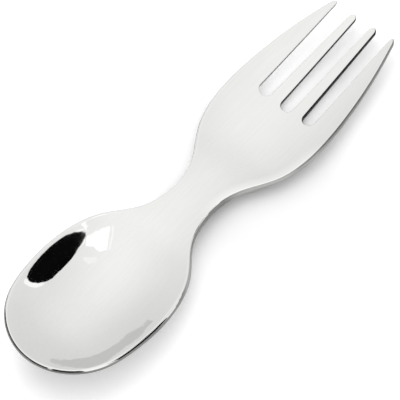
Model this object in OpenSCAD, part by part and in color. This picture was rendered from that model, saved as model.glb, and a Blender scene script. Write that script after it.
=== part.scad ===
// Double-ended spork, pressed from one blank of graded stainless steel sheet.
// X runs along the utensil from the spoon end to the tine tips, Y goes across it and Z is up.
// The lowest line of the bowl and of the fork both rest on the table, at Z = 0.
// The blank is one piece of steel. Its named regions meet face to face at flat cross sections.

/* [Lengths] */
// Length of the spoon bowl, from its far end to the start of the neck
bowl_length = 48; // [40:0.5:60]
// Length of the neck between bowl and fork
neck_length = 20.5; // [14:0.5:30]
// Length of the fork palm, from the neck to the roots of the slots
palm_length = 24.7; // [20:0.1:32]
// Length of the tines, from the roots of the slots to the tips
tine_length = 31.8; // [24:0.1:40]

/* [Widths] */
// Width across the top edge of the bowl at its widest
bowl_width = 34; // [28:0.5:40]
// Width across the neck at its narrowest
neck_width = 11.4; // [9:0.1:16]
// Width across the top edges of the fork at its widest
fork_width = 29.2; // [25:0.1:34]
// Width of a slot beside its root
slot_width = 3.3; // [2.6:0.05:3.8]
// Width of a slot between the tips
slot_tip_width = 4.15; // [3.4:0.05:4.6]
// Distance between the centre lines of two slots at their roots
slot_pitch = 6.75; // [6:0.05:7.2]
// Distance between the centre lines of two slots at the tips
slot_tip_pitch = 6.1; // [5.6:0.05:6.5]

/* [Pressed form] */
// Depth of the bowl below its rim, where it is widest
bowl_depth = 6.3; // [4:0.1:8]
// Depth of the fork below its side edges, where it is widest
fork_dish = 3.1; // [1.5:0.1:4.5]
// Depth of the trough along the middle of the neck
neck_trough = 0.65; // [0.3:0.05:1.4]
// Drop of the rim from the spoon end to the shoulders of the fork
rim_drop = 5.5; // [3.5:0.1:7]

/* [Sheet] */
// Thickness of the sheet at the far end of the bowl
bowl_end_sheet = 1.25; // [1.1:0.05:1.8]
// Thickness of the sheet under the deepest part of the bowl
bowl_sheet = 1.7; // [1.2:0.05:2]
// Thickness of the sheet in the neck
neck_sheet = 2.1; // [1.6:0.05:2.6]
// Thickness of the sheet in the fork palm
palm_sheet = 1.45; // [1.2:0.05:2]
// Thickness of the sheet at the tips of the tines
tip_sheet = 1.2; // [1.1:0.05:1.6]
// Radius of the polished edge all round the rim
edge_radius = 0.46; // [0.1:0.02:0.5]
// Radius of the polished edges in the slots
slot_edge_radius = 0.2; // [0.1:0.02:0.3]
// Length of the rounded tip of each tine
tip_round = 1.5; // [0.8:0.1:2.5]

/* [Hidden] */
steel = [0.86, 0.87, 0.88];

neck_start = bowl_length;
palm_start = neck_start + neck_length;
root_x = palm_start + palm_length;
tip_x = root_x + tine_length;

// Share of the bowl depth that falls away evenly from the rim; the rest deepens towards the middle
rim_slope_share = 0.7;
bowl_fall = rim_slope_share * bowl_depth / pow(bowl_width / 2, 2);
bowl_hollow = (1 - rim_slope_share) * bowl_depth / pow(bowl_width / 2, 4);
neck_fall = neck_trough / pow(neck_width / 2, 2);
fork_fall = fork_dish / pow(fork_width / 2, 2);

// Control rows of the form, from the spoon end to beyond the tips. Smooth curves run past them.
// Each table gives shares of its own region: place along it, half width, drop of the rim.
bowl_shares = [
    [-0.003, 0.195, 0.00],
    [0.063, 0.590, 0.03],
    [0.198, 0.890, 0.09],
    [0.375, 0.983, 0.21],
    [0.563, 1.012, 0.37],
    [0.729, 0.948, 0.50],
    [0.875, 0.798, 0.65],
    [1.000, 0.468, 0.77],
];
neck_shares = [
    [0.317, 1.026, 0.85],
    [0.659, 0.953, 0.91],
];
palm_shares = [
    [0.000, 0.494, 0.98],
    [0.304, 0.881, 0.99],
    [0.668, 1.007, 0.91],
];
tine_shares = [
    [0.057, 1.004, 0.84],
    [0.403, 0.922, 0.79],
    [0.748, 0.789, 0.76],
    [1.094, 0.584, 0.75],
    [1.440, 0.453, 0.74],
];

// Sheet thickness at each control row
bowl_sheets = [
    bowl_end_sheet,
    bowl_end_sheet,
    (2 * bowl_end_sheet + bowl_sheet) / 3,
    (bowl_end_sheet + 2 * bowl_sheet) / 3,
    bowl_sheet,
    (2 * bowl_sheet + neck_sheet) / 3,
    (bowl_sheet + 2 * neck_sheet) / 3,
    neck_sheet,
];
neck_sheets = [neck_sheet, neck_sheet];
palm_sheets = [(neck_sheet + palm_sheet) / 2, palm_sheet, palm_sheet];
tine_sheets = [
    palm_sheet,
    (2 * palm_sheet + tip_sheet) / 3,
    (palm_sheet + 2 * tip_sheet) / 3,
    tip_sheet,
    tip_sheet,
];

// One row is [x, half width, rim height, fall, hollow, sheet]
function region_rows(shares, sheets, start, length, width, fall, hollow) = [
    for (i = [0 : len(shares) - 1])
        [start + shares[i][0] * length, shares[i][1] * width / 2, -shares[i][2] * rim_drop,
         fall, hollow, sheets[i]]
];
outline_rows = concat(
    region_rows(bowl_shares, bowl_sheets, 0, bowl_length, bowl_width, bowl_fall, bowl_hollow),
    region_rows(neck_shares, neck_sheets, neck_start, neck_length, neck_width, neck_fall, 0),
    region_rows(palm_shares, palm_sheets, palm_start, palm_length, fork_width, fork_fall, 0),
    region_rows(tine_shares, tine_sheets, root_x, tine_length, fork_width, fork_fall, 0)
);
// Round the spoon end the outline runs on into its own mirror image
mirrored_row = [1, -1, 1, 1, 1, 1];
function mirror_row(row) = [for (i = [0 : len(row) - 1]) row[i] * mirrored_row[i]];
rows = concat([mirror_row(outline_rows[1]), mirror_row(outline_rows[0])], outline_rows);

// Cubic B-spline through the rows: s counts rows, and the spoon end is at half a row
end_s = 0.5;
last_s = len(rows) - 3;
function row_at(s) =
    let (i = min(floor(s), len(rows) - 4), u = s - i)
    (pow(1 - u, 3) * rows[i]
        + (3 * pow(u, 3) - 6 * pow(u, 2) + 4) * rows[i + 1]
        + (-3 * pow(u, 3) + 3 * pow(u, 2) + 3 * u + 1) * rows[i + 2]
        + pow(u, 3) * rows[i + 3]) / 6;

// The row at a given x, found by halving the span of s
halvings = 30;
function s_of(x, low = end_s, high = last_s, left = halvings) =
    left == 0 ? (low + high) / 2
    : let (middle = (low + high) / 2)
      row_at(middle)[0] < x ? s_of(x, middle, high, left - 1) : s_of(x, low, middle, left - 1);
function row_x(x) = row_at(s_of(x));

// Height of the top face over a row, at y
function pressed_z(row, y) =
    let (inside = pow(row[1], 2) - pow(y, 2))
    row[2] - row[3] * inside - row[4] * pow(inside, 2);
function slope_y(row, y) =
    let (inside = pow(row[1], 2) - pow(y, 2))
    2 * y * (row[3] + 2 * row[4] * inside);
// A small step along x, for slopes
slope_step = edge_radius / 4;
function slope_x(row, next, y) = (pressed_z(next, y) - pressed_z(row, y)) / (next[0] - row[0]);

// The blank leans until the bowl and the fork both touch the table
belly_stations = 24;
function belly_z(x) =
    let (row = row_x(x), next = row_x(x + slope_step))
    pressed_z(row, 0) - row[5] * sqrt(1 + pow(slope_x(row, next, 0), 2));
function belly(start, length) = [
    for (i = [0 : belly_stations])
        let (x = start + length * i / belly_stations)
        [x, belly_z(x)]
];
function lowest(places) =
    let (low = min([for (p = places) p[1]]))
    [for (p = places) if (p[1] == low) p][0];
bowl_low = lowest(belly(bowl_length / 4, bowl_length / 2));
fork_low = lowest(belly(palm_start, palm_length + tine_length / 2));
lean = (bowl_low[1] - fork_low[1]) / (fork_low[0] - bowl_low[0]);
function leaned_z(row, y) = pressed_z(row, y) + lean * row[0];

// Cross sections. Only the far half of the bowl turns its edge towards the end;
// from its widest place on, every section lies in a plane across the utensil.
turn_end = bowl_length / 2;
function turn_at(x) = x >= turn_end ? 0 : pow(cos(90 * x / turn_end), 2);

// A point of the top face, with the direction through the sheet towards the bottom face
function top_point(row, y) = [row[0], y, leaned_z(row, y)];
function through(row, next, y) =
    let (
        slopes = [slope_x(row, next, y) + lean, slope_y(row, y)],
        normal = [-slopes[0], -slopes[1], 1] / sqrt(1 + slopes * slopes),
        kept = [normal[0] * turn_at(row[0]), normal[1], normal[2]]
    )
    -kept / (kept * normal);

// The four points of one rounded edge: the arc under the top face, then the arc over the bottom
arc_middle = 45;
function edge_points(inner, outer, down, sheet, radius) =
    let (
        out = outer - inner,
        upper = inner + down * radius,
        lower = inner + down * (sheet - radius)
    )
    [
        upper + out * sin(arc_middle) - down * radius * cos(arc_middle),
        upper + out,
        lower + out,
        lower + out * sin(arc_middle) + down * radius * cos(arc_middle),
    ];

// One closed ring of points, from the low-y edge over the top to the high-y edge and back below.
// edge = [row, next row, low y, high y] at the very edge, face = the same for the top face
function ring(edge, face, radii, across) =
    let (
        sheet = face[0][5],
        face_step = (face[3] - face[2]) / across,
        face_ys = [for (i = [0 : across]) i == across ? face[3] : face[2] + face_step * i],
        tops = [for (y = face_ys) top_point(face[0], y)],
        downs = [for (y = face_ys) through(face[0], face[1], y)],
        bottoms = [for (i = [0 : across]) tops[i] + downs[i] * sheet],
        low = edge_points(tops[0], top_point(edge[0], edge[2]), downs[0], sheet, radii[0]),
        high = edge_points(tops[across], top_point(edge[0], edge[3]), downs[across], sheet, radii[1])
    )
    concat(
        [low[1], low[0]], tops, [high[0], high[1]],
        [high[2], high[3]], [for (i = [across : -1 : 0]) bottoms[i]], [low[3], low[2]]
    );

// A solid through a list of rings. A flat strip closes its far end, and its near end too
// unless the first ring is a mere line, where its two sides meet.
function strip_faces(n, base, far) = [
    for (i = [0 : n / 2 - 2])
        let (quad = [base + i, base + i + 1, base + n - 2 - i, base + n - 1 - i])
        each far
            ? [[quad[0], quad[1], quad[2]], [quad[0], quad[2], quad[3]]]
            : [[quad[0], quad[2], quad[1]], [quad[0], quad[3], quad[2]]]
];
function is_face(points, face) =
    points[face[0]] != points[face[1]]
    && points[face[1]] != points[face[2]]
    && points[face[2]] != points[face[0]];
module loft(rings, near_closed = true) {
    n = len(rings[0]);
    last = len(rings) - 1;
    points = [for (r = rings, p = r) p];
    side_faces = [
        for (k = [0 : last - 1], i = [0 : n - 1])
            let (a = k * n + i, b = k * n + (i + 1) % n, c = a + n, d = b + n)
            each [[a, b, d], [a, d, c]]
    ];
    near_faces = near_closed ? strip_faces(n, 0, false) : [];
    far_faces = strip_faces(n, last * n, true);
    polyhedron(
        points = points,
        faces = [for (f = concat(side_faces, near_faces, far_faces)) if (is_face(points, f)) f],
        convexity = 6
    );
}

// Rings of the bowl, neck and palm
bowl_across = 16;
bowl_steps = 30;
neck_steps = 9;
palm_steps = 11;

// A ring at s rows along the outline, its top face set in from the edge by the edge radius
function rim_ring(s) =
    let (
        row = row_at(s),
        half_width = s > end_s ? row[1] : 0,
        ahead = row_at(s + slope_step) - row,
        travel = [ahead[0], ahead[1]] / norm([ahead[0], ahead[1]]),
        turn = turn_at(row[0]),
        inset = turn > 0 ? [travel[1], travel[0]] : [0, 1 / travel[0]],
        face_x = row[0] + edge_radius * inset[0] * (turn > 0 ? 1 : 0),
        face_row = turn > 0 ? row_x(face_x) : row,
        face_y = max(half_width - edge_radius * inset[1], 0),
        next = row_x(row[0] + slope_step),
        face_next = turn > 0 ? row_x(face_x + slope_step) : next
    )
    ring([row, next, -half_width, half_width], [face_row, face_next, -face_y, face_y],
         [edge_radius, edge_radius], bowl_across);
function rim_rings(from_s, to_s, steps) = [
    for (k = [0 : steps]) rim_ring(from_s + (to_s - from_s) * k / steps)
];
neck_s = s_of(neck_start);
palm_s = s_of(palm_start);
root_s = s_of(root_x);
bowl_rings = rim_rings(end_s, neck_s, bowl_steps);
neck_rings = rim_rings(neck_s, palm_s, neck_steps);
palm_rings = rim_rings(palm_s, root_s, palm_steps);

// The blank is moved so that its box is centred over the origin and its lowest line is at Z = 0
lowest_z = min([for (r = concat(bowl_rings, palm_rings), p = r) p[2]]);
bowl_end = min([for (p = bowl_rings[0]) p[0]]);
middle_x = (bowl_end + tip_x) / 2;
module placed() {
    translate([-middle_x, 0, -lowest_z])
        children();
}

// Slots: centre line and half width along x. The root is half round.
root_radius = slot_width / 2;
function slot_along(x) = (x - root_x) / tine_length;
function slot_centre(slot, x) =
    slot * (slot_pitch + (slot_tip_pitch - slot_pitch) * slot_along(x));
function slot_half(x) =
    let (into = min(max(x - root_x, 0), root_radius))
    sqrt(pow(root_radius, 2) - pow(root_radius - into, 2))
        + (slot_tip_width - slot_width) / 2 * slot_along(x);

// Rings of one tine. Its sides are slots or the rim, and its tip is rounded to a blunt edge.
tine_across = 4;
root_turns = [0, 18, 36, 56, 76, 90];
straight_steps = 8;
cap_turns = [15, 35, 52, 66, 78, 90];
cap_x = tip_x - tip_round;
tine_stations = concat(
    [for (a = root_turns) root_x + root_radius * (1 - cos(a))],
    [for (k = [1 : straight_steps])
        root_x + root_radius + (cap_x - root_x - root_radius) * k / straight_steps],
    [for (a = cap_turns) cap_x + tip_round * sin(a)]
);
// Fullness of the tip: 1 along the tine, falling to a narrow blunt end
blunt_share = 0.04;
function fullness(x) =
    x <= cap_x ? 1
    : max(sqrt(max(1 - pow((x - cap_x) / tip_round, 2), 0)), blunt_share);
function slot_radius_at(x) = slot_edge_radius * min(max(x - root_x, 0) / root_radius, 1);

// A side is a slot number, or a sign times rim_side for the rim
rim_side = 10;
function side_y(side, facing, row) =
    abs(side) == rim_side ? sign(side) * row[1]
    : slot_centre(side, row[0]) + facing * slot_half(row[0]);
function side_radius(side, x) = abs(side) == rim_side ? edge_radius : slot_radius_at(x);

function tine_ring(low_side, high_side, x) =
    let (
        row = row_x(x),
        next = row_x(x + slope_step),
        low = side_y(low_side, 1, row),
        high = side_y(high_side, -1, row),
        middle = (low + high) / 2,
        half = (high - low) / 2 * fullness(x),
        radii = [side_radius(low_side, x), side_radius(high_side, x)] * fullness(x),
        edge_low = middle - half,
        edge_high = middle + half
    )
    ring([row, next, edge_low, edge_high],
         [row, next, edge_low + radii[0], edge_high - radii[1]], radii, tine_across);
module tine(low_side, high_side) {
    placed()
        loft([for (x = tine_stations) tine_ring(low_side, high_side, x)]);
}

// Oval bowl of the spoon, with its rounded rim
module spoon_bowl() {
    color(steel)
        placed()
            loft(bowl_rings, near_closed = false);
}

// Pinched neck, a shallow trough
module neck() {
    color(steel)
        placed()
            loft(neck_rings);
}

// Dished palm of the fork, up to the roots of the slots
module fork_palm() {
    color(steel)
        placed()
            loft(palm_rings);
}

// Four tines, counted from the high-y side
module tine_1() {
    color(steel)
        tine(1, rim_side);
}
module tine_2() {
    color(steel)
        tine(0, 1);
}
module tine_3() {
    color(steel)
        tine(-1, 0);
}
module tine_4() {
    color(steel)
        tine(-rim_side, -1);
}

spoon_bowl();
neck();
fork_palm();
tine_1();
tine_2();
tine_3();
tine_4();
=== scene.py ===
# %% [markdown]
# # A double-ended spork, pressed from one sheet of steel
# The real thing is a flat blank of stainless steel, stamped out, rolled thinner towards its ends,
# pressed between two dies and polished until it works as a mirror. A spoon bowl sits at one end,
# a fork with four tines at the other, and a pinched neck joins them. Nothing is fixed to it.
#
# This lesson makes it in the same order: draw the outline, cut the blank, press it, give the sheet
# its thickness, round the raw edge, polish it. A mirror shows every ripple of a mesh, so the
# blank is a tidy grid, and one smooth formula does the pressing.

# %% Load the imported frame
import math

import bpy
import numpy as np
from mathutils import Matrix, Vector


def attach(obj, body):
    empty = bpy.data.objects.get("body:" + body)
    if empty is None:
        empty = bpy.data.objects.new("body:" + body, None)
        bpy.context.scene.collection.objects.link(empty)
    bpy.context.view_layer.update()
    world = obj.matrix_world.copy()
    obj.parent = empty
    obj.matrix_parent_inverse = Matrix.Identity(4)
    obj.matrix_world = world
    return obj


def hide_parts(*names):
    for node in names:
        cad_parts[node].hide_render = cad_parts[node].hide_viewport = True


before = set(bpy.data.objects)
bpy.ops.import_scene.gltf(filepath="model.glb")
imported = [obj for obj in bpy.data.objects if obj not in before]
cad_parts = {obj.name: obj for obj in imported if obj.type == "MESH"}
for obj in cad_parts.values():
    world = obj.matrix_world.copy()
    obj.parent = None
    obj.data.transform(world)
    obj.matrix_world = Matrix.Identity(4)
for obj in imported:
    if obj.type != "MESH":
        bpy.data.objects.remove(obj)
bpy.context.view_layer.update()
scene = bpy.context.scene
MM = 0.001
print("CAD nodes:", ", ".join(sorted(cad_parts)))


# %% [markdown]
# ## The drawing
# A smooth curve runs past a few control rows. Each row says how far along the utensil it lies, how
# wide the blank is there, how far the rim has dropped, how the face dishes below the rim, and how
# thick the sheet is. The numbers are shares of named sizes in millimetres, so they stay readable.

# %% Sizes in millimetres
BOWL_LENGTH, NECK_LENGTH, PALM_LENGTH, TINE_LENGTH = 48, 20.5, 24.7, 31.8
BOWL_WIDTH, NECK_WIDTH, FORK_WIDTH = 34, 11.4, 29.2
SLOT_WIDTH, SLOT_TIP_WIDTH, SLOT_PITCH, SLOT_TIP_PITCH = 3.3, 4.15, 6.75, 6.1
BOWL_DEPTH, FORK_DISH, NECK_TROUGH, RIM_DROP = 6.3, 3.1, 0.65, 5.5
END_SHEET, BOWL_SHEET, NECK_SHEET, PALM_SHEET, TIP_SHEET = 1.25, 1.7, 2.1, 1.45, 1.2
EDGE_RADIUS, SLOT_EDGE_RADIUS, TIP_ROUND = 0.46, 0.2, 1.5
RIM_SLOPE_SHARE = 0.7
NECK_START = BOWL_LENGTH
PALM_START = NECK_START + NECK_LENGTH
ROOT_X = PALM_START + PALM_LENGTH
TIP_X = ROOT_X + TINE_LENGTH

# %% Control rows: [place, half width, drop of the rim], as shares of their own region
bowl_shares = [
    [-0.003, 0.195, 0.00], [0.063, 0.590, 0.03], [0.198, 0.890, 0.09], [0.375, 0.983, 0.21],
    [0.563, 1.012, 0.37], [0.729, 0.948, 0.50], [0.875, 0.798, 0.65], [1.000, 0.468, 0.77],
]
neck_shares = [[0.317, 1.026, 0.85], [0.659, 0.953, 0.91]]
palm_shares = [[0.000, 0.494, 0.98], [0.304, 0.881, 0.99], [0.668, 1.007, 0.91]]
tine_shares = [
    [0.057, 1.004, 0.84], [0.403, 0.922, 0.79], [0.748, 0.789, 0.76],
    [1.094, 0.584, 0.75], [1.440, 0.453, 0.74],
]


def thirds(start, end):
    """A start, an end, and two places between them that cut the way in thirds."""
    return [start + (end - start) * k / 3 for k in range(4)]


bowl_sheets = [END_SHEET] + thirds(END_SHEET, BOWL_SHEET) + thirds(BOWL_SHEET, NECK_SHEET)[1:]
palm_sheets = [(NECK_SHEET + PALM_SHEET) / 2, PALM_SHEET, PALM_SHEET]
tine_sheets = thirds(PALM_SHEET, TIP_SHEET) + [TIP_SHEET]


def region_rows(shares, sheets, start, length, width, dish, even_share):
    fall = even_share * dish / (width / 2) ** 2
    hollow = (1 - even_share) * dish / (width / 2) ** 4
    return [
        [start + along * length, half * width / 2, -drop * RIM_DROP, fall, hollow, sheet]
        for (along, half, drop), sheet in zip(shares, sheets)
    ]


neck_sheets = [NECK_SHEET, NECK_SHEET]
bowl = (bowl_shares, bowl_sheets, 0, BOWL_LENGTH, BOWL_WIDTH, BOWL_DEPTH, RIM_SLOPE_SHARE)
neck = (neck_shares, neck_sheets, NECK_START, NECK_LENGTH, NECK_WIDTH, NECK_TROUGH, 1)
palm = (palm_shares, palm_sheets, PALM_START, PALM_LENGTH, FORK_WIDTH, FORK_DISH, 1)
tines = (tine_shares, tine_sheets, ROOT_X, TINE_LENGTH, FORK_WIDTH, FORK_DISH, 1)
regions = (bowl, neck, palm, tines)
outline_rows = np.array([row for region in regions for row in region_rows(*region)])
# Round the spoon end the outline runs on into its own mirror image
mirror_image = np.array([1, -1, 1, 1, 1, 1])
rows = np.vstack([outline_rows[1] * mirror_image, outline_rows[0] * mirror_image, outline_rows])
print("control rows:", len(rows))

# %% [markdown]
# ## The curve and the pressed form
# A cubic B-spline is the curve that a springy batten takes: it passes near its control rows and has
# no kinks. It is sampled finely once, and everything after that looks places up in the samples.

# %% Sample the curve
SAMPLES = 8000
END_S = 0.5


def row_at(s):
    """The cubic B-spline's own formula. Each place on it blends four control rows."""
    i = np.minimum(np.floor(s).astype(int), len(rows) - 4)
    u = (s - i)[:, None]
    return (
        (1 - u) ** 3 * rows[i]
        + (3 * u**3 - 6 * u**2 + 4) * rows[i + 1]
        + (-3 * u**3 + 3 * u**2 + 3 * u + 1) * rows[i + 2]
        + u**3 * rows[i + 3]
    ) / 6


curve = row_at(np.linspace(END_S, len(rows) - 3, SAMPLES))
curve_x, curve_w, curve_rim, curve_fall, curve_hollow, curve_sheet = curve.T


def pressed_z(x, y):
    """Height of the upper face below the rim's datum, before the blank leans onto the table."""
    inside = np.interp(x, curve_x, curve_w**2) - y**2
    fall = np.interp(x, curve_x, curve_fall)
    hollow = np.interp(x, curve_x, curve_hollow)
    return np.interp(x, curve_x, curve_rim) - fall * inside - hollow * inside**2


# %% Lean the form until bowl and fork both touch the table
BELLY_SAMPLES = 400


def belly(low, high):
    """Place and height of the lowest point of the underside between two places along X."""
    x = np.linspace(low, high, BELLY_SAMPLES)
    z = pressed_z(x, 0 * x)
    slope = np.gradient(z, x)
    under = z - np.interp(x, curve_x, curve_sheet) * np.sqrt(1 + slope**2)
    return x[under.argmin()], under.min()


bowl_low = belly(BOWL_LENGTH / 4, BOWL_LENGTH * 3 / 4)
fork_low = belly(PALM_START, ROOT_X + TINE_LENGTH / 2)
lean = (bowl_low[1] - fork_low[1]) / (fork_low[0] - bowl_low[0])


def top_z(x, y):
    return pressed_z(x, y) + lean * x


print("bellies at", [round(float(p[0]), 1) for p in (bowl_low, fork_low)], "lean", round(lean, 5))

# %% [markdown]
# ## The cut of the blank
# The polished round edge is made later, so the grid of the upper face stops short of the outline by
# the radius of that edge. Its rows cross the utensil, and its columns run along it in seven strips:
# tine, slot, tine, slot, tine, slot, tine. At the spoon end, the slot roots and the tips the rows
# bow, so that the last one lies along the round end, and all cells stay nearly square.

# %% The outline, set in by the edge radius
travel = np.gradient(curve[:, :2], axis=0)
travel /= np.linalg.norm(travel, axis=1)[:, None]
inset_x = curve_x + EDGE_RADIUS * travel[:, 1]
inset_w = curve_w - EDGE_RADIUS * travel[:, 0]
inset_arc = np.concatenate([[0], np.cumsum(np.hypot(np.diff(inset_x), np.diff(inset_w)))])
# The corner of the grid, where the outline runs at 45 degrees
corner_sample = int(np.argmax(travel[:, 0] > travel[:, 1]))
corner_x, corner_w = inset_x[corner_sample], inset_w[corner_sample]
print("grid corner at", round(float(corner_x), 2), round(float(corner_w), 2))

# %% The slots: a round root, then two nearly straight sides
COS_45 = math.sqrt(0.5)
root_radius = SLOT_WIDTH / 2 + SLOT_EDGE_RADIUS
root_end = ROOT_X - SLOT_EDGE_RADIUS
root_corner_x = root_end + root_radius * (1 - COS_45)


def slot_centre(slot, x):
    along = (x - ROOT_X) / TINE_LENGTH
    return slot * (SLOT_PITCH + (SLOT_TIP_PITCH - SLOT_PITCH) * along)


def slot_half(x):
    along = np.maximum(x - ROOT_X, 0) / TINE_LENGTH
    into = np.clip(x - root_end, 0, root_radius)
    round_part = np.sqrt(root_radius**2 - (root_radius - into) ** 2)
    return round_part + (SLOT_TIP_WIDTH - SLOT_WIDTH) / 2 * along


# %% Rows: places along the utensil, closer together at roots and tips
CELL = 0.55
END_CELLS = [0, 0.25, 0.6, 1.1, 1.75, 2.55]  # rows at the spoon end, counted in cells
FORK_ROWS = 84
ROW_CROWDING, COLUMN_CROWDING = 0.5, 0.6
TIP_LEAN = 0.06  # the underside of a leaning tip reaches this much further than its top
tip_reach = TIP_ROUND - SLOT_EDGE_RADIUS
cap_x = TIP_X - TIP_LEAN - TIP_ROUND
tip_corner_x = cap_x + tip_reach * COS_45


def crowded(share, amount):
    """Even shares from 0 to 1, moved closer together at both ends."""
    return share - amount * np.sin(2 * math.pi * share) / (2 * math.pi)


def rows_between(x0, x1):
    arcs = np.interp([x0, x1], inset_x, inset_arc)
    count = round((arcs[1] - arcs[0]) / CELL)
    return np.interp(np.linspace(*arcs, count + 1), inset_arc, inset_x)[:-1]


fork_shares = crowded(np.linspace(0, 1, FORK_ROWS + 1), ROW_CROWDING)
fork_xs = root_corner_x + (tip_corner_x - root_corner_x) * fork_shares
corner_arc = np.interp(corner_x, inset_x, inset_arc)
end_xs = np.interp(corner_arc + CELL * np.array(END_CELLS), inset_arc, inset_x)
row_xs = np.concatenate([
    end_xs[:-1],
    rows_between(end_xs[-1], NECK_START),
    rows_between(NECK_START, PALM_START),
    rows_between(PALM_START, root_corner_x),
    fork_xs,
])
root_row = len(row_xs) - len(fork_xs)
last_row = len(row_xs) - 1
print("rows:", len(row_xs), "root row:", root_row)

# %% Columns: seven strips, as shares of the half width at the roots
SLOTS = [-1, 0, 1]
TINE_COLUMNS, RIM_TINE_COLUMNS, SLOT_COLUMNS = 8, 11, 7
STRIP_COLUMNS = [
    RIM_TINE_COLUMNS, SLOT_COLUMNS, TINE_COLUMNS, SLOT_COLUMNS, TINE_COLUMNS, SLOT_COLUMNS,
    RIM_TINE_COLUMNS,
]
TINE_STRIPS, SLOT_STRIPS = (0, 2, 4, 6), (1, 3, 5)
STRIPS = len(STRIP_COLUMNS)
root_w = float(np.interp(root_corner_x, inset_x, inset_w))
corner_half = float(slot_half(np.array(root_corner_x)))
strip_edges = [-root_w]
for slot in SLOTS:
    middle = slot_centre(slot, root_corner_x)
    strip_edges += [middle - corner_half, middle + corner_half]
strip_edges.append(root_w)
column_y, column_strip = [], []
for strip, count in enumerate(STRIP_COLUMNS):
    width = strip_edges[strip + 1] - strip_edges[strip]
    for k in range(count + (strip == STRIPS - 1)):
        share = k / count if strip in SLOT_STRIPS else crowded(k / count, COLUMN_CROWDING)
        column_strip.append(strip)
        column_y.append(strip_edges[strip] + width * share)
column_y, column_strip = np.array(column_y), np.array(column_strip)
columns = len(column_y)
strip_starts = [int(np.argmax(column_strip == strip)) for strip in range(STRIPS)] + [columns - 1]
print("columns:", columns)


# %% [markdown]
# The next four cells are the cutting tool. They give each row and column of the grid its place on
# the flat blank. Before the roots a column keeps its share of the width. Beyond them, the columns
# of a tine keep their share of that tine. Near a round end the rows bow, and the bow fades out
# over a few rows.

# %% Start with straight rows
END_FADE, ROOT_FADE, TIP_FADE = 26, 9, 8  # in rows


def fading(distance, reach, power=2):
    """1 at no distance, falling smoothly to 0 where the reach ends."""
    return np.clip(1 - distance / reach, 0, 1) ** power


row_index = np.arange(len(row_xs))
plan_x = np.repeat(row_xs[:, None], columns, axis=1)
plan_y = np.interp(row_xs, inset_x, inset_w)[:, None] * (column_y / root_w)
print("grid points:", plan_x.size)

# %% Bow the rows round the spoon end
end_y = corner_w * np.abs(column_y) / root_w
end_x = np.interp(end_y, inset_w[: corner_sample + 1], inset_x[: corner_sample + 1])
rows_on = (np.interp(row_xs, inset_x, inset_arc) - corner_arc) / CELL
plan_x += fading(rows_on, END_FADE)[:, None] * (end_x - corner_x)
print("spoon end bows by", round(float(corner_x - end_x.min()), 2), "mm")


# %% Bow the rows round the slot roots
def strip_span(strip):
    return slice(strip_starts[strip], strip_starts[strip + 1] + 1)


for strip in SLOT_STRIPS:
    span = strip_span(strip)
    across = column_y[span] - (strip_edges[strip] + strip_edges[strip + 1]) / 2
    end_x = root_end + root_radius - np.sqrt(root_radius**2 - across**2)
    fade = fading(root_row - row_index, ROOT_FADE) * (row_index <= root_row)
    plan_x[:, span] += fade[:, None] * (end_x - root_corner_x)
print("slot roots bow by", round(float(root_corner_x - end_x.min()), 2), "mm")


# %% Fan the columns out into the tines, and bow the rows round the tips
def tine_sides(strip, x):
    """Low and high side of a tine's upper face, without the round of its tip."""
    low_slot, high_slot = strip // 2 - 2, strip // 2 - 1
    rim = np.interp(x, inset_x, inset_w)
    low = -rim if strip == 0 else slot_centre(low_slot, x) + slot_half(x)
    high = rim if strip == STRIPS - 1 else slot_centre(high_slot, x) - slot_half(x)
    return low, high


beyond = slice(root_row + 1, None)
past_cap = np.clip(row_xs[beyond] - cap_x, 0, None)
fullness = np.sqrt(1 - (past_cap / tip_reach) ** 2)
for strip in TINE_STRIPS:
    span = strip_span(strip)
    side = 2 * crowded(np.linspace(0, 1, span.stop - span.start), COLUMN_CROWDING) - 1
    end_x = cap_x + tip_reach * np.sqrt(1 - (COS_45 * side) ** 2)
    plan_x[:, span] += fading(last_row - row_index, TIP_FADE)[:, None] * (end_x - tip_corner_x)
    low, high = tine_sides(strip, plan_x[beyond, span])
    plan_y[beyond, span] = (low + high) / 2 + (high - low) / 2 * fullness[:, None] * side
print("blank:", round(float(plan_x.max() - plan_x.min()), 2), "mm long")


# %% Check that no cell is folded
def turns_back(before, here, after):
    arriving, leaving = here - before, after - here
    return arriving[..., 0] * leaving[..., 1] - arriving[..., 1] * leaving[..., 0] < 0


def folded_corners():
    """Number of cell corners that turn the wrong way. Any such corner would fold the sheet."""
    place = np.stack([plan_x, plan_y], axis=-1)
    cell_ring = [place[:-1, :-1], place[1:, :-1], place[1:, 1:], place[:-1, 1:]] * 2
    over_slot = np.isin(column_strip[:-1], SLOT_STRIPS) & (row_index[:-1, None] >= root_row)
    return sum(int((turns_back(*cell_ring[k : k + 3]) & ~over_slot).sum()) for k in range(4))


print("folded corners:", folded_corners())


# %% [markdown]
# ## From a grid to a pressed blank
# The grid primitive gives the cells. The faces over the slots are deleted, and then every point is
# moved to its place, first on the blank and in the same step down into the die.

# %% Add the grid
def only(obj):
    """Select one object and nothing else, so that an operator acts on it alone."""
    bpy.ops.object.select_all(action="DESELECT")
    obj.select_set(True)
    bpy.context.view_layer.objects.active = obj


bpy.ops.object.select_all(action="DESELECT")
bpy.ops.mesh.primitive_grid_add(x_subdivisions=last_row, y_subdivisions=columns - 1, size=2)
utensil = bpy.context.object
utensil.name = "utensil"
grid = np.empty(len(utensil.data.vertices) * 3)
utensil.data.vertices.foreach_get("co", grid)
grid = grid.reshape(-1, 3)
point_row = np.rint((grid[:, 0] + 1) / 2 * last_row).astype(int)
point_column = np.rint((grid[:, 1] + 1) / 2 * (columns - 1)).astype(int)
print("grid:", len(utensil.data.polygons), "cells")

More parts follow.
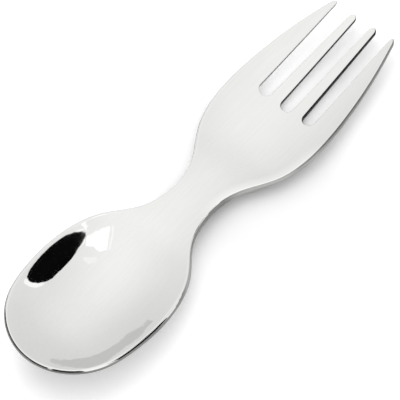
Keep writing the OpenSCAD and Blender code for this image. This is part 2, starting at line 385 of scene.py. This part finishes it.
# %% Notes that stay with the points
KINDS = {  # the layer's field, its width, and its numbers as stored and as used
    "INT": ("value", 1, np.int32, int),
    "FLOAT": ("value", 1, np.float32, float),
    "FLOAT_VECTOR": ("vector", 3, np.float32, float),
}


def keep(name, kind, values):
    """Store a value for each point under a name. Later operators carry it along."""
    field, _, stored, _ = KINDS[kind]
    layer = utensil.data.attributes.new(name, kind, "POINT")
    layer.data.foreach_set(field, values.astype(stored).ravel())


def kept(name):
    """Read the stored values back, also for the points that were added since."""
    layer = utensil.data.attributes[name]
    field, width, stored, used = KINDS[layer.data_type]
    values = np.empty(len(layer.data) * width, stored)
    layer.data.foreach_get(field, values)
    return values.reshape(-1, width).squeeze().astype(used)


keep("row", "INT", point_row)
keep("column", "INT", point_column)
print("notes:", len(kept("row")), "rows and columns")


# %% Cut the slots
def select_nothing(kind):
    """Clear the selection, with Edit Mode set to work on this kind of element."""
    bpy.ops.object.mode_set(mode="EDIT")
    bpy.ops.mesh.select_mode(type=kind)
    bpy.ops.mesh.select_all(action="DESELECT")
    bpy.ops.object.mode_set(mode="OBJECT")


select_nothing("FACE")
for face in utensil.data.polygons:
    corners = list(face.vertices)
    strip = column_strip[point_column[corners].min()]
    face.select = bool(point_row[corners].min() >= root_row and strip in SLOT_STRIPS)
bpy.ops.object.mode_set(mode="EDIT")
bpy.ops.mesh.delete(type="FACE")
bpy.ops.object.mode_set(mode="OBJECT")
print("cells:", len(utensil.data.polygons))

# %% [markdown]
# ## Pressing
# The rim loses a few hundredths of a millimetre to the buffing wheel. That is far too little to see
# as a shape, but a mirror turns it into a thin light line along the rim, so it is worth having. It
# needs the distance of each point from the rim first. The wheel takes most on the far side of the
# bowl and on the neck, and the bowl's far shoulder turns up by a hair.

# %% Measure how far each point lies from the rim
RIM_STEP = 4  # every fourth sample of the curve is close enough
point_row, point_column = kept("row"), kept("column")
x = plan_x[point_row, point_column]
y = plan_y[point_row, point_column]
rim_line = np.stack([curve_x, curve_w], axis=1)[::RIM_STEP]
rim_out = np.stack([-travel[:, 1], travel[:, 0]], axis=1)[::RIM_STEP]


def rim_distance(x, y):
    """Distance across the last straight bit of rim, so it stays smooth between the samples."""
    places = np.stack([x, np.abs(y)], axis=1)
    nearest = [np.square(rim_line - place).sum(1).argmin() for place in places]
    return ((rim_line[nearest] - places) * rim_out[nearest]).sum(1)


from_rim = rim_distance(x, y)
print("furthest from the rim:", round(float(from_rim.max()), 1), "mm")


# %% Measure what the buffing wheel takes and the far shoulder gains
BUFF_DEPTH, BUFF_WIDTH, BUFF_POWER = 0.035, 2.8, 3
NECK_BUFF_STARTS, NECK_BUFF_ENDS = (50, 64), (80, 94)
FAR_BUFF_ENDS, FAR_BUFF_SIDE = (26, 38), (-6, 6)
SHOULDER_RISE, SHOULDER_WIDTH, SHOULDER_POWER = 0.035, 2.9, 2
SHOULDER_STARTS, SHOULDER_ENDS, SHOULDER_SIDE = (34.5, 39), (50, 58), (0, 6)


def eased_step(value, low, high):
    """0 below low, 1 above high, and a smooth slope between them."""
    share = np.clip((value - low) / (high - low), 0, 1)
    return share * share * (3 - 2 * share)


def stretch(value, starts, ends):
    """1 along a stretch of the utensil, with a smooth slope at its start and its end."""
    return eased_step(value, *starts) - eased_step(value, *ends)


far_share = (1 - eased_step(x, *FAR_BUFF_ENDS)) * eased_step(y, *FAR_BUFF_SIDE)
neck_share = stretch(x, NECK_BUFF_STARTS, NECK_BUFF_ENDS)
shoulder_share = stretch(x, SHOULDER_STARTS, SHOULDER_ENDS) * eased_step(y, *SHOULDER_SIDE)
worn = BUFF_DEPTH * (far_share + neck_share) * fading(from_rim, BUFF_WIDTH, BUFF_POWER)
worn -= SHOULDER_RISE * shoulder_share * fading(from_rim, SHOULDER_WIDTH, SHOULDER_POWER)
print("worn:", round(float(worn.min()), 3), "to", round(float(worn.max()), 3), "mm")

# %% Press the blank
END_BULGE = 0.37  # the polished edge stands this far past the outline's lowest X
lowest_z = bowl_low[1] + lean * bowl_low[0]
middle_x = (curve_x[0] - END_BULGE + TIP_X) / 2
placed = np.stack([x - middle_x, y, top_z(x, y) - worn - lowest_z], axis=1) * MM
utensil.data.vertices.foreach_set("co", placed.ravel())
utensil.data.update()
print("pressed points:", len(placed))

# %% [markdown]
# ## Thickness and edge
# Solidify grows the sheet downwards. A vertex group grades it, because the maker rolls the blank
# thinner towards the bowl's end and the tips. The wall that appears at the rim is one face high,
# so its upright edges are cut into bands and each band is moved out to the polished round.

# %% Give the sheet its graded thickness
sheet = np.interp(x, curve_x, curve_sheet)
group = utensil.vertex_groups.new(name="sheet")
for index, weight in enumerate(sheet / sheet.max()):
    group.add([index], float(weight), "REPLACE")
points_before = len(utensil.data.vertices)
faces_before = len(utensil.data.polygons)
only(utensil)
solidify = utensil.modifiers.new("sheet", "SOLIDIFY")
solidify.thickness = float(sheet.max()) * MM
solidify.offset = -1
solidify.vertex_group = "sheet"
bpy.ops.object.modifier_apply(modifier="sheet")
print("with its underside:", len(utensil.data.polygons), "faces")


# %% Measure the wall before it is cut
def read_points():
    values = np.empty(len(utensil.data.vertices) * 3)
    utensil.data.vertices.foreach_get("co", values)
    return values.reshape(-1, 3)


points = read_points()
through = np.zeros_like(points)
through[:points_before] = points[points_before:] - points[:points_before]
through[points_before:] = through[:points_before]
outward = np.zeros_like(points)
for face in utensil.data.polygons[2 * faces_before :]:
    for index in face.vertices:
        outward[index] += face.normal
down = through / np.linalg.norm(through, axis=1)[:, None]
outward -= down * (outward * down).sum(1)[:, None]
length = np.linalg.norm(outward, axis=1)
on_wall = length > 0
outward[on_wall] /= length[on_wall][:, None]
print("wall points:", int(on_wall.sum()))

# %% Radius of the round at each wall point: full on the rim, small in the slots
rim_column = (point_column == 0) | (point_column == columns - 1)
tip_share = np.clip((x - cap_x) / tip_reach, 0, 1)
rim_radius = EDGE_RADIUS + (SLOT_EDGE_RADIUS - EDGE_RADIUS) * tip_share
radius = np.where(rim_column, rim_radius, EDGE_RADIUS)
radius[(point_row >= root_row) & ~rim_column] = SLOT_EDGE_RADIUS
print("radius:", radius.min(), "to", radius.max(), "mm")

# %% Cut the wall into bands
BANDS = 16
keep("through", "FLOAT_VECTOR", through)
keep("outward", "FLOAT_VECTOR", outward)
keep("radius", "FLOAT", np.concatenate([radius, radius]))
keep("below", "FLOAT", np.repeat([0.0, 1.0], points_before))
select_nothing("EDGE")
for edge in utensil.data.edges:
    top, bottom = sorted(edge.vertices)
    edge.select = bottom - top == points_before
bpy.ops.object.mode_set(mode="EDIT")
bpy.ops.mesh.subdivide(number_cuts=BANDS - 1)
bpy.ops.object.mode_set(mode="OBJECT")
print("after cutting:", len(utensil.data.polygons), "faces")


# %% Round the edge
EDGE_FULLNESS = 0.8  # below 1 the round is fuller than an ellipse
points = read_points()
cut = slice(2 * points_before, None)
across, out = kept("through")[cut], kept("outward")[cut]
arc, share_down = kept("radius")[cut, None] * MM, kept("below")[cut, None]
out /= np.linalg.norm(out, axis=1)[:, None]
turn = share_down * math.pi
depth = (1 - np.cos(turn)) / 2
points[cut] += (depth - share_down) * across + arc * np.sin(turn) ** EDGE_FULLNESS * out
utensil.data.vertices.foreach_set("co", points.ravel())
print("size:", [round(v / MM, 2) for v in (points.max(0) - points.min(0))])

# %% [markdown]
# Three finishes meet on the edge. The polished face runs on over the top of the round. Below that,
# a belt has brushed the outer edge, over its lower half round the bowl and nearly all of it from
# the neck on, and the underside with it. Its grey is darker than steel's own, which is painted
# shade. Under each tine one half has stayed polished. In the slots the wall that faces the viewer
# gets a sheared face coloured near black, which is painted shade for the dark it reflects, and the
# other is satin.

# %% Give each face of the edge its finish
POLISHED, SHEARED_AND_SHADED, BRUSHED_AND_SHADED = range(3)
# Each limit below is a share of the way down through the sheet
SHEAR_MARGINS = {-1: 0.02, 0: 0.08, 1: 0.2}  # above and below the sheared face, by slot
SLOT_BRUSHED_FROM = 0.1
BRUSHED_FROM_X, BRUSHED_FROM = [32, 37, 58, 66, 84, 94], [0.45, 0.25, 0.22, 0.1, 0.1, 0.15]
FAR_BRUSHED_FROM = 0.3
TOLERANCE = 0.01  # millimetres
below, radius = kept("below"), kept("radius")
place_x, place_y = points[:, 0] / MM + middle_x, points[:, 1] / MM


def finish_of(face):
    corners = list(face.vertices)
    down = below[corners].mean()
    mid_x, mid_y = place_x[corners].mean(), place_y[corners].mean()
    if radius[corners].max() < SLOT_EDGE_RADIUS + TOLERANCE:
        slot = min(SLOTS, key=lambda k: abs(slot_centre(k, mid_x) - mid_y))
        if mid_y < slot_centre(slot, mid_x):
            return BRUSHED_AND_SHADED if down > SLOT_BRUSHED_FROM else POLISHED
        # Painted shade: only the slot wall that faces the viewer gets the near-black sheared face
        margin = SHEAR_MARGINS[slot]
        return SHEARED_AND_SHADED if margin < down < 1 - margin else POLISHED
    limit = np.interp(mid_x, BRUSHED_FROM_X, BRUSHED_FROM)
    return BRUSHED_AND_SHADED if down > (FAR_BRUSHED_FROM if mid_y > 0 else limit) else POLISHED


for face in utensil.data.polygons:
    face.material_index = finish_of(face)
print("faces by finish:", np.bincount([face.material_index for face in utensil.data.polygons]))

# %% Mark where the finishes are painted lighter, as painted reflection and painted sheen
# Painted reflection: the brushed edge is coloured lighter on the shoulders of bowl and fork, less
# so on the tines
BOWL_WALL_LIGHT_LEVEL, BOWL_WALL_LIGHT_STARTS, BOWL_WALL_LIGHT_ENDS = 0.55, (36, 40), (44, 50)
FORK_WALL_LIGHT_STARTS, FORK_WALL_LIGHT_LOSS, FORK_WALL_LIGHT_ENDS = (63, 68), 0.8, (86, 94)
# Painted sheen: the near side of the neck, close to its rim, is coloured lighter for the light it
# reflects
SHEEN_STARTS, SHEEN_ENDS, SHEEN_REACH = (55, 64), (84, 92), 2.6
painted_wall_light = BOWL_WALL_LIGHT_LEVEL * stretch(place_x, BOWL_WALL_LIGHT_STARTS, BOWL_WALL_LIGHT_ENDS)
fork_wall_light_loss = FORK_WALL_LIGHT_LOSS * eased_step(place_x, *FORK_WALL_LIGHT_ENDS)
painted_wall_light += eased_step(place_x, *FORK_WALL_LIGHT_STARTS) - fork_wall_light_loss
keep("painted_wall_light", "FLOAT", painted_wall_light)
painted_sheen = stretch(place_x, SHEEN_STARTS, SHEEN_ENDS)
painted_sheen[place_y > 0] = 0
marked = np.flatnonzero(painted_sheen)
inward = np.maximum(rim_distance(place_x[marked], place_y[marked]), 0)
painted_sheen[marked] *= fading(inward, SHEEN_REACH, power=1)
keep("painted_sheen", "FLOAT", painted_sheen)
print("points the wheel brightens:", len(marked))

# %% Clear the working notes and shade the piece smooth
for name in ("row", "column", "through", "outward", "radius", "below"):
    utensil.data.attributes.remove(utensil.data.attributes[name])
utensil.vertex_groups.clear()
utensil.data.update()
only(utensil)
bpy.ops.object.shade_smooth()
print("points:", len(utensil.data.vertices))

# %% [markdown]
# ## Steel, three ways
# Stainless steel is slightly warm and a clean face of it reflects about four fifths of the light.
# All three finishes are metals. Roughness tells them apart. The rougher ones are also given
# darker colours than steel's own, which is painted shade. Each one carries the marks of its tool,
# drawn with noise at a size in millimetres.

# %% Colours and nodes
def linear(hex_code):
    """An sRGB colour such as "#E8E8E6", turned into the linear colour that a node takes."""
    channels = [int(hex_code[k : k + 2], 16) / 255 for k in (1, 3, 5)]
    return [c / 12.92 if c <= 0.04045 else ((c + 0.055) / 1.055) ** 2.4 for c in channels] + [1]


def add_node(tree, kind, settings=None, links=None, **inputs):
    """Add a node. An input whose name has a space is written with an underscore."""
    node = tree.nodes.new(kind)
    for name, value in (settings or {}).items():
        setattr(node, name, value)
    for name, value in inputs.items():
        node.inputs[name.replace("_", " ")].default_value = value
    for name, source in (links or {}).items():
        tree.links.new(source, node.inputs[name])
    return node


def new_metal(name):
    paint = bpy.data.materials.new(name)
    paint.use_nodes = True
    shader = paint.node_tree.nodes["Principled BSDF"]
    shader.inputs["Metallic"].default_value = 1
    utensil.data.materials.append(paint)
    return paint.node_tree, shader


print("paper white, linear:", round(linear("#F2F2F2")[0], 3))


# %% Marks drawn with noise, and mixtures of colours
def patches(tree, scale):
    """Noise over the piece. scale is the number of patches in a metre along X, Y and Z."""
    place = add_node(tree, "ShaderNodeTexCoord")
    stretched = add_node(
        tree, "ShaderNodeMapping", links={"Vector": place.outputs["Object"]}, Scale=scale
    )
    noise = add_node(
        tree, "ShaderNodeTexNoise", links={"Vector": stretched.outputs[0]}, Scale=1.0, Detail=1.0
    )
    return noise.outputs["Fac"]


NOISE_LOW, NOISE_HIGH = 0.3, 0.7  # nearly all of a noise lies between these


def between(tree, noise, low, high):
    """Stretch a noise over the values from low to high."""
    node = add_node(
        tree, "ShaderNodeMapRange", links={"Value": noise},
        From_Min=NOISE_LOW, From_Max=NOISE_HIGH, To_Min=low, To_Max=high,
    )
    return node.outputs[0]


COLOUR_A, COLOUR_B, COLOUR_RESULT = 6, 7, 2  # sockets of a Mix node that mixes colours


def blended(tree, share, first, second):
    """Mix two colours, each a list of numbers or the socket of another node."""
    node = add_node(tree, "ShaderNodeMix", {"data_type": "RGBA"}, {0: share})
    for socket, value in ((node.inputs[COLOUR_A], first), (node.inputs[COLOUR_B], second)):
        if isinstance(value, list):
            socket.default_value = value
        else:
            tree.links.new(value, socket)
    return node.outputs[COLOUR_RESULT]


def per_metre(*spacings):
    """Spacings in millimetres along X, Y and Z, turned into counts in a metre."""
    return [1 / (spacing * MM) for spacing in spacings]


print("half a millimetre is", per_metre(0.5), "lines in a metre")

# %% [markdown]
# ### Polished faces
# A mirror finish gives the eye sharp reflections. It is never perfect: faint clouds of haze about
# 9 mm wide soften them here and there, waves 2 mm long from the press make their outlines wobble,
# and buffing lines run along the utensil. Real lines are some hundredths of a millimetre apart.
# They are drawn at half a millimetre, or they would vanish between the pixels of a picture.

# %% Polished faces
HAZE, RIPPLE = 9, 2.2
STROKE_LENGTH, STROKE_PITCH = 14, 0.5
RIPPLE_HEIGHT, STROKE_HEIGHT = 0.003 * MM, 0.00006 * MM
MIRROR_ROUGHNESS = (0.012, 0.03)
STROKE_STRENGTH = 0.4
tree, shader = new_metal("polished_stainless_steel")
haze = patches(tree, per_metre(HAZE, HAZE, HAZE))
ripple = patches(tree, per_metre(RIPPLE, RIPPLE, RIPPLE))
strokes = patches(tree, per_metre(STROKE_LENGTH, STROKE_PITCH, STROKE_PITCH))
# Painted sheen: the stored share colours the near side of the neck lighter by its rim
bright = add_node(tree, "ShaderNodeAttribute", {"attribute_name": "painted_sheen"})
cloudy = blended(tree, haze, linear("#E8E8E6"), linear("#E3E3E1"))
stroke_share = between(tree, strokes, 0.0, STROKE_STRENGTH)
streaked = blended(tree, stroke_share, cloudy, linear("#E1E1DF"))
polished = blended(tree, bright.outputs["Fac"], streaked, linear("#F6F6F4"))
tree.links.new(polished, shader.inputs["Base Color"])
tree.links.new(between(tree, haze, *MIRROR_ROUGHNESS), shader.inputs["Roughness"])
ripple_bump = add_node(tree, "ShaderNodeBump", links={"Height": ripple}, Distance=RIPPLE_HEIGHT)
stroke_bump = add_node(
    tree, "ShaderNodeBump", links={"Height": strokes, "Normal": ripple_bump.outputs[0]},
    Distance=STROKE_HEIGHT,
)
tree.links.new(stroke_bump.outputs[0], shader.inputs["Normal"])
print("polished steel:", len(tree.nodes), "nodes")

# %% [markdown]
# ### Walls of the slots
# A punch shears the last part of its way, which leaves a dull face with scores across the sheet.
# They are about a third of a millimetre apart. The face is coloured near black, which is painted
# shade for the dark that this wall reflects, and the eye reads it as a soft black band.

# %% Walls of the slots
SCORE_PITCH, SCORE_LENGTH, SCORE_DEPTH = 0.35, 6, 0.01 * MM
SHEAR_ROUGHNESS = (0.5, 0.32)
tree, shader = new_metal("sheared_steel_painted_shade")
scores = patches(tree, per_metre(SCORE_PITCH, SCORE_PITCH, SCORE_LENGTH))
score_share = between(tree, scores, 0.0, 1.0)
# Painted shade: near-black tones stand in for the dark this wall reflects; the scores are real
painted_shear_shade = blended(tree, score_share, linear("#141414"), linear("#2E2E2D"))
tree.links.new(painted_shear_shade, shader.inputs["Base Color"])
tree.links.new(between(tree, scores, *SHEAR_ROUGHNESS), shader.inputs["Roughness"])
shear_bump = add_node(tree, "ShaderNodeBump", links={"Height": scores}, Distance=SCORE_DEPTH)
tree.links.new(shear_bump.outputs[0], shader.inputs["Normal"])
print("sheared steel:", len(tree.nodes), "nodes")

# %% [markdown]
# ### Outer edge
# An abrasive belt leaves long lines that follow the rim. The eye sees a satin grey that darkens and
# lightens in stripes. The grey is darker than steel's own, which is painted shade, and it is made
# lighter on the shoulders of bowl and fork, which is painted reflection. The lines are drawn
# 0.28 mm apart, coarser than the belt's, and 8 mm long. The same finish lies on the underside.

# %% Outer edge
LINE_LENGTH, LINE_PITCH, LINE_DEPTH = 8, 0.28, 0.006 * MM
BELT_ROUGHNESS = (0.36, 0.48)
LINE_STRENGTH = 0.35
tree, shader = new_metal("brushed_steel_painted_shade")
belt_lines = patches(tree, per_metre(LINE_LENGTH, LINE_LENGTH, LINE_PITCH))
# Painted reflection: the stored share lightens the brushed grey on the shoulders
painted_wall_light = add_node(tree, "ShaderNodeAttribute", {"attribute_name": "painted_wall_light"})
# Painted shade: both greys are darker than the steel's own colour
painted_wall_tone = blended(tree, painted_wall_light.outputs["Fac"], linear("#8E8E8C"), linear("#BCBCBA"))
line_share = between(tree, belt_lines, 0.0, LINE_STRENGTH)
line_tone = blended(tree, line_share, painted_wall_tone, linear("#70706E"))
tree.links.new(line_tone, shader.inputs["Base Color"])
tree.links.new(between(tree, belt_lines, *BELT_ROUGHNESS), shader.inputs["Roughness"])
belt_bump = add_node(tree, "ShaderNodeBump", links={"Height": belt_lines}, Distance=LINE_DEPTH)
tree.links.new(belt_bump.outputs[0], shader.inputs["Normal"])
print("brushed steel:", len(tree.nodes), "nodes")

# %% [markdown]
# ## Into the frame
# The real utensil is one piece of steel, so one mesh replaces all seven nodes of the CAD model.

# %% Hand the piece to the frame
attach(utensil, "root")
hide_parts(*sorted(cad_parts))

# %% [markdown]
# ## Camera
# The utensil is seen from 60 degrees above the table and from 750 mm away, turned so that its fork
# points to the upper right. The object stands a little off the middle of the picture, so the aim
# is moved off the object by as much, along the picture's own right and up.

# %% Camera
ELEVATION, TURN = math.radians(60.126), math.radians(50.174)
DISTANCE = 750
FOCAL_PIXELS, PICTURE_PIXELS, SENSOR = 3171.46, 400, 36
NEAREST, FURTHEST = 0.01, 20  # metres
OBJECT_MIDDLE = Vector((0.192, 0, 10.417))
OFF_RIGHT, OFF_UP = 0.561, 5.716
right = Vector((math.cos(TURN), -math.sin(TURN), 0))
up = Vector((
    math.sin(TURN) * math.sin(ELEVATION),
    math.cos(TURN) * math.sin(ELEVATION),
    math.cos(ELEVATION),
))
back = right.cross(up)
aim = OBJECT_MIDDLE - OFF_RIGHT * right - OFF_UP * up
eye = (aim + DISTANCE * back) * MM
camera_data = bpy.data.cameras.new("camera")
camera_data.sensor_width = SENSOR
camera_data.lens = FOCAL_PIXELS / PICTURE_PIXELS * SENSOR
camera_data.clip_start, camera_data.clip_end = NEAREST, FURTHEST
camera = bpy.data.objects.new("camera", camera_data)
camera.matrix_world = Matrix.Translation(eye) @ Matrix((right, up, back)).transposed().to_4x4()
scene.collection.objects.link(camera)
scene.camera = camera
scene.view_settings.view_transform = "Standard"
print("lens:", round(camera_data.lens, 1), "mm")

# %% [markdown]
# ## Floor
# White paper, pale and matt. The studio's paper is overexposed: it turns white where the shadow is
# faint. A weak glow of its own does the same here. It is seen by the camera and in the steel and
# lights nothing else. It is weakest beside the neck, where the real shadow reaches furthest.

# %% Floor
bpy.ops.object.select_all(action="DESELECT")
FLOOR_SIZE = 6  # metres
bpy.ops.mesh.primitive_plane_add(size=FLOOR_SIZE)
floor = bpy.context.object
floor.name = "floor"
floor_paint = bpy.data.materials.new("white_paper")
floor_paint.use_nodes = True
tree = floor_paint.node_tree
tree.nodes.clear()
paper = add_node(tree, "ShaderNodeBsdfDiffuse", Color=linear("#F2F2F2"))
path = add_node(tree, "ShaderNodeLightPath")
mirrored = add_node(
    tree, "ShaderNodeMath", {"operation": "MAXIMUM"},
    {0: path.outputs["Is Glossy Ray"], 1: path.outputs["Is Transmission Ray"]},
)
seen = add_node(
    tree, "ShaderNodeMath", {"operation": "MAXIMUM"},
    {0: path.outputs["Is Camera Ray"], 1: mirrored.outputs[0]},
)
print("paper is seen by camera, glossy and transmission rays")


# %% The glow of the paper, along and across the utensil
# Each ramp runs from one place to another, in millimetres, and from one strength to another
SPOON_RAMP, FORK_RAMP, BACK_RAMP = (-30, 0, 0.24, 0.02), (20, 42, 0, 0.14), (-2, 9, 0, 0.12)
place = add_node(tree, "ShaderNodeTexCoord")
along = add_node(tree, "ShaderNodeSeparateXYZ", links={"Vector": place.outputs["Object"]})


def ramp(axis, start, end, low, high):
    socket = along.outputs[axis]
    node = add_node(
        tree, "ShaderNodeMapRange", {"interpolation_type": "SMOOTHSTEP"}, {"Value": socket},
        From_Min=start * MM, From_Max=end * MM, To_Min=low, To_Max=high,
    )
    return node.outputs[0]


def total(first, second):
    return add_node(tree, "ShaderNodeMath", {"operation": "ADD"}, {0: first, 1: second}).outputs[0]


glow_level = total(total(ramp("X", *SPOON_RAMP), ramp("X", *FORK_RAMP)), ramp("Y", *BACK_RAMP))
seen_level = add_node(
    tree, "ShaderNodeMath", {"operation": "MULTIPLY"}, {0: seen.outputs[0], 1: glow_level}
)
paper_glow = add_node(tree, "ShaderNodeEmission", links={"Strength": seen_level.outputs[0]})
both = add_node(tree, "ShaderNodeAddShader", links={0: paper.outputs[0], 1: paper_glow.outputs[0]})
add_node(tree, "ShaderNodeOutputMaterial", links={"Surface": both.outputs[0]})
floor.data.materials.append(floor_paint)
print("floor:", len(tree.nodes), "nodes")

# %% [markdown]
# ## White tent
# Polished steel has no look of its own. It shows what stands round it, here a tent of white cloth.
# The cloth is brightest overhead and falls off towards the right, which gives the bowl its soft
# change from light to grey. The strengths are those that the eye should see in the steel, divided
# by the share of the light that steel throws back.

# %% White tent
ahead = Vector((math.sin(TURN), math.cos(TURN), 0))
overhead = Vector((0, 0, 1))
STEEL_LEVEL = 0.79
BASE_LEVEL = 0.614
RISE = 0.274 * overhead + 0.028 * right + 0.019 * ahead
FALL = 0.116 * right + 0.079 * ahead
world = bpy.data.worlds.new("white_tent")
scene.world = world
world.use_nodes = True
tree = world.node_tree
tree.nodes.clear()
look = add_node(tree, "ShaderNodeTexCoord")


def facing(direction, level):
    """Strength that grows as the view turns towards a direction."""
    node = add_node(
        tree, "ShaderNodeVectorMath", {"operation": "DOT_PRODUCT"}, {0: look.outputs["Generated"]}
    )
    node.inputs[1].default_value = direction * level
    return node.outputs["Value"]


def arithmetic(operation, *values):
    node = add_node(tree, "ShaderNodeMath", {"operation": operation})
    for socket, value in zip(node.inputs, values):
        if isinstance(value, float):
            socket.default_value = value
        else:
            tree.links.new(value, socket)
    return node.outputs[0]


rise = facing(RISE, 1 / STEEL_LEVEL)
dimming = arithmetic("MULTIPLY", facing(right, 1), facing(FALL, 1 / STEEL_LEVEL))
glow = arithmetic("SUBTRACT", arithmetic("ADD", rise, BASE_LEVEL / STEEL_LEVEL), dimming)
sky = add_node(tree, "ShaderNodeBackground", links={"Strength": glow}, Color=(1, 1, 1, 1))
add_node(tree, "ShaderNodeOutputWorld", links={"Surface": sky.outputs[0]})
print("tent:", len(tree.nodes), "nodes")

# %% [markdown]
# ## Boards round the tent
# The dark leaf in the bowl is the mirror image of a doorway, and the white patch beside it that
# of a skylight. Boards that give the same outlines stand in those directions, seen in the steel
# only. Most stand upright at a given direction and distance, with corners measured along and up.
# The skylights lie on the ceiling, with corners measured to the right and ahead. Dark boards at
# table height and behind the camera give the edge its black line. The corners of the doorway, the
# low wall and the skylights follow the rule of mirrors: a line of sight into the bowl, turned at
# the steel, ends on the board.

# %% Make a board
def card_paint(name, level):
    paint = bpy.data.materials.new(name)
    paint.use_nodes = True
    paint.node_tree.nodes.clear()
    light = add_node(paint.node_tree, "ShaderNodeEmission", Color=(1, 1, 1, 1), Strength=level)
    add_node(paint.node_tree, "ShaderNodeOutputMaterial", links={"Surface": light.outputs[0]})
    return paint


def card(name, level, corners):
    """A flat board seen only in the steel. Corners are (right, ahead, up) in millimetres."""
    bpy.ops.object.select_all(action="DESELECT")
    bpy.ops.mesh.primitive_circle_add(vertices=len(corners), radius=1, fill_type="NGON")
    board = bpy.context.object
    board.name = name
    for vertex, (across, away, high) in zip(board.data.vertices, corners):
        vertex.co = (across * right + away * ahead + high * overhead) * MM
    board.data.materials.append(card_paint(name, level))
    board.visible_camera = board.visible_diffuse = board.visible_shadow = False
    print(name, "level", level)


def upright(azimuth, distance, corners):
    """Corners (along, up) on an upright plane that faces the object."""
    turn = math.radians(azimuth)
    toward = (math.cos(turn), math.sin(turn))
    return [
        (distance * toward[0] - along * toward[1], distance * toward[1] + along * toward[0], high)
        for along, high in corners
    ]


CEILING = 600


def overhead_board(corners):
    """Corners (right, ahead) on the ceiling of the tent."""
    return [(across, away, CEILING) for across, away in corners]


# %% The doorway and what stands round it
DOOR_AZIMUTH, DOOR_DISTANCE, BOARD_GAP = 3, 350, 1
card("dark_doorway", 0.003, upright(DOOR_AZIMUTH, DOOR_DISTANCE, [
    (61, 290), (61, 353), (57, 365), (51, 374), (42, 381), (30, 390), (8, 414), (-13, 438),
    (-35, 463), (-57, 491), (-70, 512), (-80, 532), (-88, 552), (-93, 566), (-93, 290),
]))
card("dark_wall", 0.01, upright(DOOR_AZIMUTH, DOOR_DISTANCE, [
    (61, 0), (61, 150), (-330, 330), (-330, 0),
]))
card("door_frame", 1.2, upright(DOOR_AZIMUTH, DOOR_DISTANCE + BOARD_GAP, [
    (61, 250), (61, 352), (62, 363), (68, 362), (76, 354), (78, 250),
]))
card("door_lintel", 1.3, upright(DOOR_AZIMUTH, DOOR_DISTANCE + 2 * BOARD_GAP, [
    (-93, 566), (-88, 552), (-80, 532), (-70, 512), (-57, 491), (-58, 496), (-72, 526),
    (-84, 555),
]))

# %% The grey wall that shows along the near side of the bowl, and the skylights
card("low_wall", 0.68, upright(90, 400, [
    (-56, 5), (-56, 85), (-50, 86), (-43, 84), (-36, 81), (-12, 73), (19, 66), (56, 64),
    (88, 67), (128, 74), (152, 76), (166, 75), (177, 76), (187, 78), (194, 82), (200, 87),
    (205, 92), (205, 5),
]))
card("skylight", 1.35, overhead_board([
    (372, -78), (346, -83), (301, -95), (249, -107), (192, -116), (202, -97), (195, -35),
    (252, -39), (286, -49), (317, -62), (383, -64), (379, -76),
]))
card("skylight_strip", 1.2, overhead_board([
    (175, -118), (154, -119), (161, -74), (164, -32), (183, -35),
]))
card("faint_skylight", 1.14, overhead_board([
    (385, -18), (258, -15), (250, 14), (321, 20), (375, 0),
]))

# %% The room behind the camera, and the table
ROOM_DISTANCE, ROOM_TOP, ROOM_BOTTOM = 450, 700, 5
TABLE = 1  # boards on the table lie this far above it
DARK = 0.03
card("dark_room", DARK, upright(-97, ROOM_DISTANCE, [
    (-150, ROOM_BOTTOM), (-150, ROOM_TOP), (150, ROOM_TOP), (150, ROOM_BOTTOM),
]))
card("dark_room_left", DARK, upright(-160, ROOM_DISTANCE, [
    (-500, ROOM_BOTTOM), (-500, 420), (380, 420), (380, ROOM_BOTTOM),
]))
card("dark_table_right", DARK, [
    (35, -75, TABLE), (60, -30, TABLE), (600, -60, TABLE), (420, -480, TABLE),
])
card("dark_table_near", DARK, [
    (-80, -95, TABLE), (-5, -95, TABLE), (60, -600, TABLE), (-300, -600, TABLE),
])
card("dark_table_left", DARK, [
    (-95, -80, TABLE), (-95, 60, TABLE), (-600, 200, TABLE), (-600, -300, TABLE),
])
card("neck_block", 1.0, [(48, -8, TABLE), (48, -8, 50), (28, -40, 50), (28, -40, TABLE)])
card("window_gap", 1.2, upright(-63, ROOM_DISTANCE, [
    (-110, ROOM_BOTTOM), (-110, ROOM_TOP), (110, ROOM_TOP), (110, ROOM_BOTTOM),
]))

# %% [markdown]
# ## Lamp
# One large soft lamp behind the object throws the faint shadow towards the viewer. It stays out of
# the steel, where the tent already does the lighting.

# %% Softbox
LAMP_SIZE, LAMP_DISTANCE, LAMP_POWER = 1.2, 1.2, 4.0  # metres, metres, watts
LAMP_AZIMUTH, LAMP_HEIGHT = math.radians(110), math.radians(56)
lamp_data = bpy.data.lights.new("softbox", "AREA")
lamp_data.size = LAMP_SIZE
lamp_data.energy = LAMP_POWER
lamp = bpy.data.objects.new("softbox", lamp_data)
direction = math.cos(LAMP_AZIMUTH) * right + math.sin(LAMP_AZIMUTH) * ahead
direction = direction * math.cos(LAMP_HEIGHT) + overhead * math.sin(LAMP_HEIGHT)
lamp.location = direction * LAMP_DISTANCE
lamp.rotation_euler = direction.to_track_quat("Z", "Y").to_euler()
lamp.visible_glossy = False
scene.collection.objects.link(lamp)
print("lamp at", [round(v, 2) for v in lamp.location], "m")
